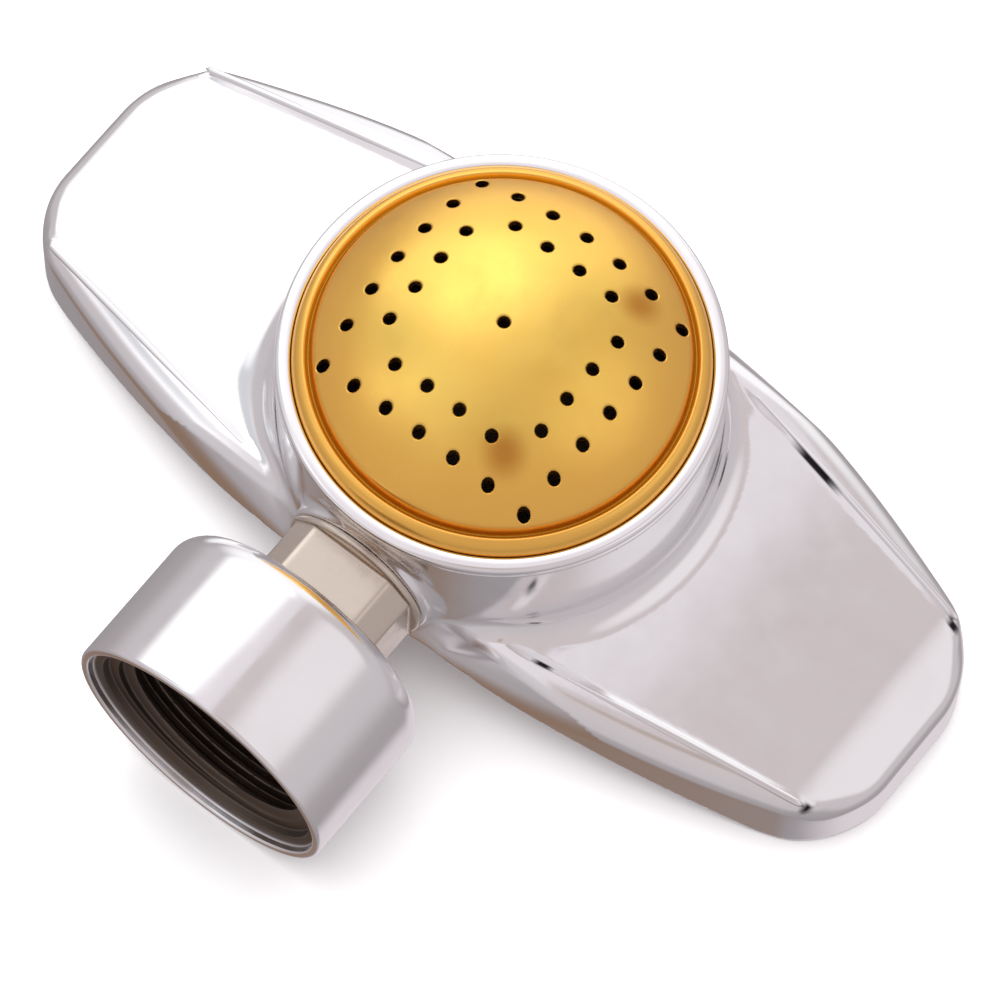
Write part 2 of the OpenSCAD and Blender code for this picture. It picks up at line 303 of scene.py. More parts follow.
def casting_field(p):
    """Signed distance, in millimetres, to the casting's surface; negative inside the metal."""
    x, y, z = p[..., 0], p[..., 1], p[..., 2]
    ax, ay = np.abs(x), np.abs(y)
    radius = np.hypot(x, y)
    hose_radius = np.hypot(x, z - HOSE_Z)
    drum = radius - DRUM_R

    # The outline from above: bowed sides, rounded corners and the drum.
    side = (ay - HALF_WIDTH + SIDE_BOW * ax ** 2) / np.hypot(1, 2 * SIDE_BOW * ax)
    plan = meet_round(side, ax - HALF_SPAN, CORNER_R)
    outline = join_round(plan, drum, OUTLINE_FILLET)

    # The wings' top, which falls away at its end and beside the drum.
    surface = wing_height(ax, ay)
    top = (z - surface) / math.hypot(1, WING_FALL)
    end = (z - surface + END_SLOPE * (ax - PANEL_END[0])) / math.hypot(1, END_SLOPE)
    top = meet_round(top, end, CREASE_R)
    run_in = HALF_WIDTH + WAIST_OUT - ay
    waist_top = ARCH_RISE + WAIST_LIP + run_in * (WAIST_RISE + WAIST_BEND * run_in)
    wing = meet_round(top, (z - waist_top) / WAIST_SCALE, WAIST_EDGE_R)

    # The wings and the drum together, cut to the outline.
    fillet = LEFT_FILLET - (LEFT_FILLET - RIGHT_FILLET) * ease(x, -FILLET_CHANGE, FILLET_CHANGE)
    fillet = fillet - (fillet - SIDE_FILLET) * ease(ay, *SIDE_FILLET_RUN)
    shoulder_r = SHOULDER_R - sum(loss * ease(ax, lo, hi) for lo, hi, loss in SHOULDER_STEPS)
    solid = meet_round(join_round(wing, drum, fillet), outline, shoulder_r)
    solid = meet_round(solid, z - DRUM_TOP, DRUM_EDGE_R)

    boss = meet_round(hose_radius - BOSS_R, -y - BOSS_FACE_Y, BOSS_EDGE_R)
    boss = np.maximum(boss, y + CHAMBER_R)
    solid = join_round(solid, boss, BOSS_FILLET)

    # The arch between the feet, which leaves the boss whole, and the hollow in each wing.
    arch = np.where(ax < ARCH_HALF, ARCH_RISE * (1 - (ax / ARCH_HALF) ** 2), 0.0)
    by_boss = (hose_radius < BOSS_R + 1) & (y < -CHAMBER_R)
    lowest = np.where(by_boss, np.minimum(arch, HOSE_Z - BOSS_R - 0.2), arch)
    solid = meet_round(solid, lowest - z, FOOT_EDGE_R)
    roof = WING_TOP - WING_FALL * ax - WING_ROOF
    hollow = meet_round(plan + WING_WALL, z - roof, HOLLOW_TOP_R)
    hollow = meet_round(hollow, -drum, HOLLOW_INNER_R)
    solid = meet_round(solid, -hollow, HOLLOW_RIM_R)

    # The water chamber, the seat of gasket, plate and ring, the bore, and the seats of seal and collar.
    chamber = np.maximum(radius - CHAMBER_R, CHAMBER_FLOOR - z)
    seat = np.maximum(radius - SEAT_R, gasket_lo[2] - z)
    bore = np.maximum(hose_radius - SPIGOT_R, y + SPIGOT_END_Y - 2)
    seal_seat = np.maximum(hose_radius - SEAL_R, y + SEAL_START_Y)
    spot_face = np.maximum(hose_radius - SPOT_FACE_R, y + BOSS_FACE_Y)
    return np.maximum(solid, -np.minimum.reduce([chamber, seat, bore, seal_seat, spot_face]))


def gradient(field, p, h=0.02):
    """Gradient of a field at points p, by central differences."""
    out = np.empty_like(p)
    for k in range(3):
        step = np.zeros(3)
        step[k] = h
        out[:, k] = (field(p + step) - field(p - step)) / (2 * h)
    return out


def surface_net(field, lo, hi, cell):
    """Quad mesh of a field's zero surface: one point per crossed cell, pulled on to the surface."""
    axes = [np.arange(lo[k], hi[k] + cell, cell) for k in range(3)]
    shape = [len(a) for a in axes]
    values = np.empty(shape, np.float32)
    for i, x in enumerate(axes[0]):
        plane = np.stack(np.meshgrid([x], axes[1], axes[2], indexing="ij"), -1)
        values[i] = field(plane)[0]
    inside = values < 0
    cells = tuple(n - 1 for n in shape)
    total = np.zeros(cells + (3,), np.float32)
    count = np.zeros(cells, np.int32)
    quads = []
    for k in range(3):
        low = [slice(None)] * 3
        high = [slice(None)] * 3
        low[k], high[k] = slice(0, -1), slice(1, None)
        crossed = np.argwhere(inside[tuple(low)] != inside[tuple(high)])
        other = [m for m in range(3) if m != k]
        keep = np.all([(crossed[:, m] > 0) & (crossed[:, m] < cells[m]) for m in other], axis=0)
        crossed = crossed[keep]
        v0 = values[tuple(crossed.T)]
        ahead = crossed.copy()
        ahead[:, k] += 1
        v1 = values[tuple(ahead.T)]
        point = crossed.astype(np.float32)
        point[:, k] += v0 / (v0 - v1)
        corners = []
        for da, db in ((0, 0), (1, 0), (1, 1), (0, 1)):
            c = crossed.copy()
            c[:, other[0]] -= da
            c[:, other[1]] -= db
            corners.append(c)
            np.add.at(total, tuple(c.T), point)
            np.add.at(count, tuple(c.T), 1)
        quads.append((np.stack(corners, 1), (v0 < 0) ^ (k == 1)))
    used = count > 0
    index = np.full(cells, -1)
    index[used] = np.arange(used.sum())
    points = total[used] / count[used][:, None] * cell + np.array([a[0] for a in axes])
    for _ in range(4):
        g = gradient(field, points)
        size = np.maximum((g ** 2).sum(1), 0.05)
        move = -(field(points) / size)[:, None] * g
        length = np.linalg.norm(move, axis=1, keepdims=True)
        points = points + move * np.minimum(1, 0.3 * cell / np.maximum(length, 1e-9))
    faces = []
    for corners, flip in quads:
        f = index[tuple(np.moveaxis(corners, -1, 0))]
        f[flip] = f[flip][:, ::-1]
        faces.append(f)
    faces = np.concatenate(faces)
    normals = gradient(field, points)
    normals /= np.maximum(np.linalg.norm(normals, axis=1, keepdims=True), 1e-9)
    return points, faces, normals


def make_casting(material):
    """The cast body: wings, drum, chamber and boss in one mesh, with the field's own normals."""
    margin = 1.0
    cell = 0.4
    lo, hi = casting_lo - margin, casting_hi + margin
    points, faces, normals = surface_net(casting_field, lo, hi, cell)
    faces = fix_winding(points, [tuple(f) for f in faces.tolist()])
    obj = make_object("cast_body", points, faces, material, "body", normals)
    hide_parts("body_casting")


def make_beads(material):
    """Thin raised beads along the long edges of both panels, sunk in to half their thickness."""
    segments, sides = 90, 16
    first, last = PANEL_START[0] + 1.2, PANEL_END[0] - 0.6
    sink = 0.02
    thin = 0.30
    s = np.linspace(0, 1, segments + 1)
    ax = first + (last - first) * s
    ay = panel_line(ax)
    top = wing_height(ax, ay) - sink
    blunt_ends = np.clip(1 - np.abs(2 * s - 1) ** 30, 0.02, 1) ** 0.5
    taper = blunt_ends * (thin + (1 - thin) * ease(s, 0, 0.5))
    t = np.linspace(0, 2 * math.pi, sides, endpoint=False)[None, :, None]
    tube = grid_faces(segments + 1, sides, closed_rows=False)
    caps = [tuple(range(sides))[::-1], tuple(range(segments * sides, (segments + 1) * sides))]
    for sx, wing in ((1, "right"), (-1, "left")):
        for sy, edge in ((-1, "front"), (1, "back")):
            centre = np.stack([sx * ax, sy * ay, top], -1)
            along = np.gradient(centre, axis=0)
            along /= np.linalg.norm(along, axis=1, keepdims=True)
            across = np.cross(along, [0, 0, 1.0])
            up = np.cross(across, along)
            ring = np.cos(t) * across[:, None] + np.sin(t) * up[:, None]
            points = (centre[:, None] + BEAD_R * taper[:, None, None] * ring).reshape(-1, 3)
            faces = fix_tube(points, tube + caps)
            obj = make_object(f"{wing}_{edge}_bead", points, faces, material, "body")


def fix_tube(points, faces):
    """fix_winding for a tube whose end caps have many sides."""
    quads = [f for f in faces if len(f) == 4]
    tri = np.array([(f[0], f[1], f[2]) for f in quads])
    centre = points.mean(0)
    cross = np.cross(points[tri[:, 1]] - points[tri[:, 0]], points[tri[:, 2]] - points[tri[:, 0]])
    along = points[-1] - points[0]
    offset = points[tri[:, 0]] - centre
    offset -= np.outer(offset @ along / (along @ along), along)
    return faces if (cross * offset).sum() > 0 else [tuple(reversed(f)) for f in faces]


# ---------------------------------------------------------------- spray plate

def dome_height(r):
    """Height of the plate's outer face above the rim's top, with its groove and rolled band."""
    q = np.minimum(r, BAND_START) / PLATE_R
    dome = DOME_RISE * (1 - 0.58 * q ** 2 - 0.41 * q ** 4)
    t = np.clip((r - BAND_START) / (BAND_END - BAND_START), 0, 1)
    rolled = dome * np.sqrt(1 - t ** 2.6)
    groove = GROOVE_DEPTH * np.exp(-((r - GROOVE_R) / GROOVE_WIDTH) ** 2)
    return np.where(r < BAND_END, rolled - groove, 0.0)


def hole_places():
    """Centres of the spray holes: an outer and an inner square of rows, and one in the middle."""
    outer_pitch, outer_row, row_bow = 4.8, 15.2, 0.0038
    inner_pitch, inner_row = 4.6, 10.85
    rows = [(outer_pitch * i, outer_row - row_bow * (outer_pitch * i) ** 2) for i in range(-2, 4)]
    rows += [(inner_pitch * (i - 1.5), inner_row) for i in range(4)]
    centres = [(0.0, 0.0)]
    for side in range(4):
        c, s = round(math.cos(side * math.pi / 2)), round(math.sin(side * math.pi / 2))
        centres += [(c * x - s * y, s * x + c * y) for x, y in rows]
    return np.array(centres)


def nearest_hole(flat, holes):
    """For each flat point, the distance to the nearest hole's centre, and which hole it is."""
    gap = np.linalg.norm(flat[:, None] - holes[None], axis=2)
    return gap.min(1), gap.argmin(1)


def circle(r, count):
    """Flat points evenly round a circle."""
    t = np.arange(count) * 2 * math.pi / count
    return np.stack([r * np.cos(t), r * np.sin(t)], -1)


def plate_points(holes):
    """Flat points of the plate's mesh: rings round the axis, and rings round each hole."""
    spacing = 0.75
    rim_count, hole_count = 288, 24
    groove = np.linspace(DOME_EDGE_R, BAND_START, 14)
    band = BAND_START + (BAND_END - BAND_START) * np.sin(np.linspace(0.05, math.pi / 2, 20))
    points = []
    for r in np.arange(spacing, DOME_EDGE_R, spacing):
        ring = circle(r, max(8, int(2 * math.pi * r / spacing)))
        points.append(ring[nearest_hole(ring, holes)[0] > HOLE_R + spacing])
    for r in (*groove, *band, RIM_R):
        points.append(circle(r, rim_count))
    for grow in (0.0, 0.05, 0.11, LIP_WIDTH, 0.45):
        points += [centre + circle(HOLE_R + grow, hole_count) for centre in holes]
    return np.concatenate(points)


def plate_top(flat, holes):
    """Height of the plate's outer face at flat points, with the edge of each hole turned down."""
    gap = nearest_hole(flat, holes)[0] - HOLE_R
    lip = LIP_DEPTH * np.clip(1 - gap / LIP_WIDTH, 0, 1) ** 2
    return RIM_BOTTOM + SHEET + dome_height(np.linalg.norm(flat, axis=1)) - lip


def plate_triangles(holes):
    """Flat points and triangles of the plate, all turned the same way, with the holes left out."""
    flat = [Vector(p) for p in plate_points(holes).tolist()]
    verts, _, tris, *_ = delaunay_2d_cdt(flat, [], [], 0, 1e-5)
    flat = np.array([tuple(v) for v in verts])
    tris = np.array([tuple(t) for t in tris])
    tris = tris[nearest_hole(flat[tris].mean(1), holes)[0] > HOLE_R * 0.97]
    a, b, c = (flat[tris[:, k]] for k in range(3))
    clockwise = (b - a)[:, 0] * (c - a)[:, 1] < (b - a)[:, 1] * (c - a)[:, 0]
    tris[clockwise] = tris[clockwise][:, ::-1]
    return flat, tris.tolist()


def unit(vectors):
    """Vectors brought to length 1."""
    return vectors / np.maximum(np.linalg.norm(vectors, axis=1, keepdims=True), 1e-9)


def make_plate(material):
    """The pressed plate: a triangulated disc with holes, lifted to the dome, with sheet thickness."""
    holes = hole_places()
    flat, tris = plate_triangles(holes)
    count = len(flat)
    r = np.linalg.norm(flat, axis=1)
    top = plate_top(flat, holes)
    under = RIM_BOTTOM + SHEET + dome_height(np.minimum(r, DOME_EDGE_R - 0.4)) - 1.15 * SHEET
    under = np.where(r < CHAMBER_R - 0.3, under, RIM_BOTTOM)
    points = np.concatenate([np.column_stack([flat, top]), np.column_stack([flat, under])])

    # Normals of the outer face come from its slope, and those of the cut edges point out of the sheet.
    step = 0.01
    slope = [(plate_top(flat + d, holes) - plate_top(flat - d, holes)) / (2 * step)
             for d in (np.array([step, 0]), np.array([0, step]))]
    shine = unit(np.column_stack([-slope[0], -slope[1], np.ones(count)]))
    nearest = holes[nearest_hole(flat, holes)[1]]
    outward = np.where((r > RIM_R - 0.1)[:, None], flat, nearest - flat)
    outward = unit(np.column_stack([outward, np.zeros(count)]))

    edges = {(t[k], t[(k + 1) % 3]) for t in tris for k in range(3)}
    open_edges = [(a, b) for a, b in sorted(edges) if (b, a) not in edges]
    upper = [tuple(t) for t in tris]
    lower = [(a + count, c + count, b + count) for a, b, c in upper]
    walls = [(b, a, a + count, b + count) for a, b in open_edges]
    normals = [shine[v] for face in upper for v in face]
    normals += [-shine[v - count] for face in lower for v in face]
    normals += [outward[v % count] for face in walls for v in face]
    obj = make_object("brass_spray_plate", points, upper + lower + walls, material, "body")
    obj.data.normals_split_custom_set(np.array(normals).tolist())
    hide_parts("spray_plate")


# ---------------------------------------------------------------- swivel coupling

def neck_radius(t, soft=0.10):
    """Distance from the hose axis to the neck's bevelled rectangle in direction t, with soft corners."""
    c, d = np.abs(np.cos(t)), np.abs(np.sin(t))
    bevel = (c + d) / (NECK_HALF_W + NECK_HALF_H - NECK_BEVEL)
    reach = 1 / np.maximum(np.stack([c / NECK_HALF_W, d / NECK_HALF_H, bevel]), 1e-9)
    return -soft * np.log(np.exp(-reach / soft).sum(0))


def make_fitting(material):
    """Inlet fitting: a spigot, a collar, a bevelled rectangular neck, and the flanged swivel stem."""
    segments = 288
    stem_r, flange_back = 10.0, FLANGE_END_Y - 1.6
    collar_end, neck_end = BOSS_FACE_Y + 1.0, NUT_BACK_Y - 0.4
    collar = rounded([(WATERWAY_R, SPIGOT_END_Y, 0.0), (SPIGOT_R, SPIGOT_END_Y, 0.5),
                      (SPIGOT_R, BOSS_FACE_Y, 0.0), (COLLAR_R, BOSS_FACE_Y, 0.4),
                      (COLLAR_R, collar_end, 0.5), (NECK_HALF_H + 0.5, collar_end, 0.0)], 6)
    rows = list(collar)

    # The neck: a fillet against the collar, straight sides, and a rounded edge at the nut's end.
    neck = neck_radius(np.arange(segments) * 2 * math.pi / segments)
    fillet, edge = 0.35, 0.6
    quarter = np.linspace(0, math.pi / 2, 7)
    rows += [(neck + fillet * (1 - math.sin(a)), collar_end + fillet * (1 - math.cos(a))) for a in quarter]
    rows += [(neck, h) for h in np.linspace(collar_end + 1.2, neck_end - edge, 5)]
    rows += [(neck - edge * (1 - math.cos(a)), neck_end - edge * (1 - math.sin(a))) for a in quarter[1:]]

    # The stem's first two corners only steer the rounding of its others, and are left out.
    stem = rounded([(6.6, neck_end, 0.0), (6.8, neck_end + 0.15, 0.0), (stem_r, neck_end + 0.2, 0.1),
                    (stem_r, flange_back, 0.2), (FLANGE_R, flange_back, 0.3),
                    (FLANGE_R, FLANGE_END_Y, 0.3), (WATERWAY_R, FLANGE_END_Y, 0.4)], 4)
    rows += list(stem[2:])
    obj = swept("inlet_neck_and_stem", rows, segments, "y", material, "body", 38)
    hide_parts("inlet_fitting")


def make_nut(material):
    """Swivel nut: a turned outside with a rounded back, a stepped mouth and a helical female thread."""
    segments = 240
    pitch = 2.209
    minor_r, major_r = 12.3, 13.6
    swivel_r, relief_r = 10.06, WASHER_R + 0.02
    shelf = MOUTH_Y - 1.1
    washer_seat = NUT_BACK_Y + 2.6
    thread_end, thread_start = MOUTH_Y - 2.2, WASHER_END_Y + 0.36
    lead_in = (major_r + 0.1, thread_end - 0.1)
    section = rounded([(swivel_r, NUT_BACK_Y, 0.4), (NUT_R, NUT_BACK_Y, 3.5), (NUT_R, MOUTH_Y, 0.7),
                       (NUT_R - 1.1, MOUTH_Y, 0.35), (NUT_R - 1.2, shelf, 0.3), (15.0, shelf, 0.3),
                       (14.8, thread_end, 0.25), (*lead_in, 0.0), (relief_r, thread_start, 0.0),
                       (relief_r, washer_seat, 0.3), (swivel_r, washer_seat, 0.3)], 10)
    last = int(np.argmin(np.abs(section - lead_in).sum(1)))
    t = np.arange(segments) * 2 * math.pi / segments
    rows = list(section[:last + 1])
    for h in np.arange(thread_end - 0.15, thread_start + 0.1, -pitch / 24):
        phase = (h / pitch - t / (2 * math.pi)) % 1.0
        groove = ease(np.abs(phase - 0.5), 0.10, 0.36)
        started = np.clip((thread_end - h) / (0.35 * pitch), 0, 1)
        finished = np.clip((h - thread_start) / (0.35 * pitch), 0, 1)
        rows.append((major_r - (major_r - minor_r) * (1 - groove) * started * finished, h))
    rows += list(section[last + 1:])
    obj = swept("swivel_nut", rows, segments, "y", material, "coupling", 50)
    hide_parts("coupling_nut")


# ---------------------------------------------------------------- materials

class Nodes:
    """Short calls to build a shader tree."""

    def __init__(self, tree, output):
        self.tree = tree
        self.tree.nodes.clear()
        self.out = self.new(output)

    def new(self, kind, **settings):
        node = self.tree.nodes.new(kind)
        for key, value in settings.items():
            setattr(node, key, value)
        return node

    def link(self, a, b):
        self.tree.links.new(a, b)

    def feed(self, value, socket):
        """Links an output to a socket, or sets the socket to a number or a colour."""
        if isinstance(value, bpy.types.NodeSocket):
            self.link(value, socket)
        elif isinstance(value, tuple):
            socket.default_value = (*value, 1.0)
        else:
            socket.default_value = value

    def maths(self, operation, a, b=0.0):
        node = self.new("ShaderNodeMath", operation=operation)
        self.feed(a, node.inputs[0])
        self.feed(b, node.inputs[1])
        return node.outputs[0]

    def times(self, a, b):
        return self.maths("MULTIPLY", a, b)

    def measure(self, operation, a, b=None):
        """The number that a vector operation gives."""
        node = self.new("ShaderNodeVectorMath", operation=operation)
        self.link(a, node.inputs[0])
        if b is not None:
            node.inputs[1].default_value = b
        return node.outputs["Value"]

    def split(self, vector):
        node = self.new("ShaderNodeSeparateXYZ")
        self.link(vector, node.inputs[0])
        return [node.outputs[axis] for axis in "XYZ"]

    def flat(self, a, b):
        """The vector (a, b, 0)."""
        node = self.new("ShaderNodeCombineXYZ")
        self.link(a, node.inputs["X"])
        self.link(b, node.inputs["Y"])
        return node.outputs[0]

    def noise(self, coords, scale, detail=3.0, rough=0.5):
        node = self.new("ShaderNodeTexNoise")
        node.inputs["Scale"].default_value = scale
        node.inputs["Detail"].default_value = detail
        node.inputs["Roughness"].default_value = rough
        self.link(coords, node.inputs["Vector"])
        return node.outputs["Fac"]

    def span(self, value, lo, hi, to_lo=0.0, to_hi=1.0, smooth=True):
        """The value from lo to hi brought to to_lo to to_hi, and held beyond them."""
        node = self.new("ShaderNodeMapRange", interpolation_type="SMOOTHSTEP" if smooth else "LINEAR")
        for name, number in (("From Min", lo), ("From Max", hi), ("To Min", to_lo), ("To Max", to_hi)):
            node.inputs[name].default_value = number
        self.link(value, node.inputs["Value"])
        return node.outputs["Result"]

    def rise(self, value, lo, hi, smooth=True):
        """0 up to lo and 1 from hi, both in millimetres."""
        return self.span(value, lo * MM, hi * MM, 0.0, 1.0, smooth)

    def fall(self, value, lo, hi, smooth=True):
        """1 up to lo and 0 from hi, both in millimetres."""
        return self.span(value, lo * MM, hi * MM, 1.0, 0.0, smooth)

    def mix(self, factor, a, b):
        node = self.new("ShaderNodeMix", data_type="RGBA")
        self.feed(factor, node.inputs[0])
        self.feed(a, node.inputs[6])
        self.feed(b, node.inputs[7])
        return node.outputs[2]

    def bump(self, height, strength, distance):
        node = self.new("ShaderNodeBump")
        node.inputs["Strength"].default_value = strength
        node.inputs["Distance"].default_value = distance
        self.link(height, node.inputs["Height"])
        return node.outputs["Normal"]


def start_material(name, kind="ShaderNodeBsdfPrincipled"):
    """A new material: itself, its tree, its shader, and the object's own coordinates."""
    material = bpy.data.materials.new(name)
    material.use_nodes = True
    n = Nodes(material.node_tree, "ShaderNodeOutputMaterial")
    shader = n.new(kind)
    n.link(shader.outputs[0], n.out.inputs["Surface"])
    return material, n, shader, n.new("ShaderNodeTexCoord").outputs["Object"]


def within(n, coords, axis, radius, start, soft):
    """1 inside a cylinder round the spray axis ("z") or the hose axis ("y"), past start mm along it."""
    x, y, z = n.split(coords)
    if axis == "z":
        across = n.flat(x, y)
        past = n.rise(z, start - soft, start + soft, False)
    else:
        across = n.flat(x, n.maths("SUBTRACT", z, HOSE_Z * MM))
        past = n.fall(y, -start - soft, -start + soft, False)
    return n.times(n.fall(n.measure("LENGTH", across), radius - soft, radius + soft), past)


def painted_bead_shade(n, coords):
    """Painted shade against the outer side of the beads: short dark strokes, and spots at their ends."""
    x, y, z = n.split(coords)
    ax, ay = n.maths("ABSOLUTE", x), n.maths("ABSOLUTE", y)
    (x0, y0), (x1, y1) = PANEL_START, PANEL_END
    taper = (y0 - y1) / (x1 - x0)
    out = n.maths("ADD", ay, n.times(ax, taper))
    total = None
    for sx, sy, start, end, shift, width in SHADE_STROKES:
        line = y0 + taper * x0 + shift
        core = 0.4 * width
        band = n.times(n.rise(out, line - width, line - core), n.fall(out, line + core, line + width))
        soft = 0.3 * (end - start) + 0.2
        run = n.times(n.rise(ax, start - 0.3, start + soft), n.fall(ax, end - soft, end + 0.3))
        side = n.times(n.rise(x, -sx, sx, False), n.rise(y, -sy, sy, False))
        stroke = n.times(n.times(band, run), side)
        total = stroke if total is None else n.maths("MAXIMUM", total, stroke)
    above_end, below_drum = n.rise(z, 8.6, 9.4, False), n.fall(z, 16.5, 17.5, False)
    return n.times(total, n.times(above_end, below_drum))


def plated_metal(name, colour, dull, roughness, waviness, tarnish=0.25, shaded=(), shade_by_beads=False):
    """Polished plating with slow waves, faint smudges and a dull film in places.

    Each shaded part is an axis, radius, start and softness for within, and two dark tones, which paint shade
    inside the chamber, shade with some oxide inside the nut, and shade with a brown reflection on the nut's
    back. It is rough.
    When asked, shade is painted beside the beads.
    """
    material, n, shader, coords = start_material(name)
    shader.inputs["Metallic"].default_value = 1.0
    film = n.span(n.noise(coords, 90.0, 4.0), 0.45, 0.75, 0.0, tarnish)
    tone = n.mix(film, colour, dull)
    smudge = n.noise(coords, 260.0, 5.0, 0.6)
    gloss = n.span(smudge, 0.3, 0.75, roughness * 0.75, roughness * 1.5)
    # Painted shade in each shaded part: dark tones inside the chamber and the nut, and brown on the nut's
    # back.
    for *region, dark, light in shaded:
        mask = within(n, coords, *region)
        tone = n.mix(mask, tone, n.mix(film, dark, light))
        gloss = n.maths("MAXIMUM", gloss, n.span(mask, 0.0, 1.0, 0.0, 0.42, False))
    # Painted shade: near-black strokes beside the beads.
    if shade_by_beads:
        tone = n.mix(painted_bead_shade(n, coords), tone, (0.02, 0.018, 0.02))
    n.link(tone, shader.inputs["Base Color"])
    n.link(gloss, shader.inputs["Roughness"])
    n.link(n.bump(n.noise(coords, 55.0, 2.0), waviness, 0.001), shader.inputs["Normal"])
    return material


def brass_metal():
    """Pressed brass: gold in soft patches, with painted shade that makes it redder towards the rim, painted
    dark reflections as brown spots, and darker in the groove.
    """
    material, n, shader, coords = start_material("polished_brass")
    shader.inputs["Metallic"].default_value = 1.0
    x, y, _ = n.split(coords)
    flat = n.flat(x, y)
    radius = n.measure("LENGTH", flat)
    groove = n.times(n.rise(radius, GROOVE_R - 0.5, GROOVE_R - 0.05),
                     n.fall(radius, GROOVE_R + 0.1, GROOVE_R + 0.5))
    patches = n.span(n.noise(coords, 60.0, 4.0, 0.6), 0.35, 0.8, 0.0, 0.5)
    tone = n.mix(patches, (1.0, 0.68, 0.15), (1.0, 0.58, 0.10))
    # Painted shade: the brass turns redder towards the rim.
    tone = n.mix(n.span(radius, 10 * MM, 22 * MM, 0.0, 0.8), tone, (1.0, 0.54, 0.12))
    # Painted dark reflections: brown spots on the plate.
    for spot_x, spot_y, reach in REFLECTION_SPOTS:
        gap = n.measure("DISTANCE", flat, (spot_x * MM, spot_y * MM, 0))
        tone = n.mix(n.span(gap, 0.3 * MM, reach * MM, 0.85, 0.0), tone, (0.62, 0.26, 0.045))
    n.link(n.mix(groove, tone, (0.62, 0.34, 0.05)), shader.inputs["Base Color"])
    gloss = n.span(n.noise(coords, 300.0, 5.0, 0.65), 0.3, 0.7, 0.27, 0.36)
    n.link(gloss, shader.inputs["Roughness"])
    n.link(n.bump(n.noise(coords, 120.0, 3.0), 0.06, 0.001), shader.inputs["Normal"])
    return material


def black_rubber(name):
    """Matt black rubber with a fine grain."""
    material, n, shader, coords = start_material(name)
    tone = n.mix(n.noise(coords, 200.0, 4.0), (0.018, 0.017, 0.016), (0.045, 0.042, 0.04))
    n.link(tone, shader.inputs["Base Color"])
    gloss = n.span(n.noise(coords, 500.0, 4.0), 0.3, 0.7, 0.5, 0.75, False)
    n.link(gloss, shader.inputs["Roughness"])
    n.link(n.bump(n.noise(coords, 900.0, 3.0), 0.3, 0.0003), shader.inputs["Normal"])
    return material


# ---------------------------------------------------------------- build the pieces

# Painted shade inside the chamber and the nut; inside the nut it is partly oxide too.
INSIDE_SHADE_AND_OXIDE = ((0.13, 0.10, 0.08), (0.22, 0.17, 0.13))
# Painted shade and brown reflection on the back of the nut, beside the neck.
BROWN_SHADE_AND_REFLECTION = ((0.34, 0.24, 0.18), (0.42, 0.30, 0.23))
chamber_shade = ("z", CHAMBER_R + 0.1, CHAMBER_FLOOR - 0.4, 0.3, *INSIDE_SHADE_AND_OXIDE)
nut_back_shade = ("y", 14.6, NUT_BACK_Y - 1.0, 1.6, *BROWN_SHADE_AND_REFLECTION)
nut_inside_shade_and_oxide = ("y", NUT_R - 1.3, NUT_BACK_Y + 1.2, 0.3, *INSIDE_SHADE_AND_OXIDE)
cast_chrome = plated_metal("cast_chrome_plating", (0.90, 0.89, 0.90), (0.76, 0.74, 0.75), 0.11, 0.10,
                           shaded=[chamber_shade], shade_by_beads=True)
ring_chrome = plated_metal("ring_chrome_plating", (0.94, 0.93, 0.94), (0.82, 0.81, 0.83), 0.10, 0.04)
nut_chrome = plated_metal("nut_chrome_plating", (0.90, 0.89, 0.90), (0.78, 0.76, 0.77), 0.13, 0.05,
                          shaded=[nut_back_shade, nut_inside_shade_and_oxide])
nickel = plated_metal("warm_nickel_plating", (0.66, 0.58, 0.50), (0.53, 0.45, 0.37), 0.24, 0.08)
brass = brass_metal()
seal_rubber = black_rubber("seal_rubber")
washer_rubber = black_rubber("washer_rubber")

make_casting(cast_chrome)
make_beads(cast_chrome)
make_plate(brass)
make_fitting(nickel)
make_nut(nut_chrome)

skirt_in, skirt_out = RIM_R + 0.1, RIM_R + 0.7
plate_level, drum_level = RIM_BOTTOM + SHEET + 0.05, DRUM_TOP + 0.05
turned("plate_ring", [(skirt_in, ring_lo[2], 0.1), (skirt_out, ring_lo[2], 0.1),
                      (skirt_out, drum_level, 0.0), (DRUM_R, drum_level, 0.12),
                      (DRUM_R, ring_hi[2], 0.75), (PLATE_R, ring_hi[2], 0.45),
                      (PLATE_R, plate_level, 0.1), (skirt_in, plate_level, 0.05)],
       "z", ring_chrome, "body", "plate_retaining_ring", 288)
gasket_in, seal_in, washer_in = CHAMBER_R + 0.2, SPIGOT_R + 0.05, WATERWAY_R + 3.0
turned("rubber_plate_gasket", [(gasket_in, gasket_lo[2], 0.3), (RIM_R, gasket_lo[2], 0.3),
                               (RIM_R, gasket_hi[2], 0.3), (gasket_in, gasket_hi[2], 0.3)],
       "z", seal_rubber, "body", "plate_gasket")
turned("rubber_fitting_seal", [(seal_in, SEAL_START_Y, 0.15), (SEAL_R, SEAL_START_Y, 0.35),
                               (SEAL_R, BOSS_FACE_Y, 0.35), (seal_in, BOSS_FACE_Y, 0.15)],
       "y", seal_rubber, "body", "fitting_seal")
turned("rubber_hose_washer", [(washer_in, WASHER_START_Y, 0.4), (WASHER_R, WASHER_START_Y, 0.5),
                              (WASHER_R, WASHER_END_Y, 0.5), (washer_in, WASHER_END_Y, 0.4)],
       "y", washer_rubber, "coupling", "hose_washer")


# ---------------------------------------------------------------- stage, light and camera

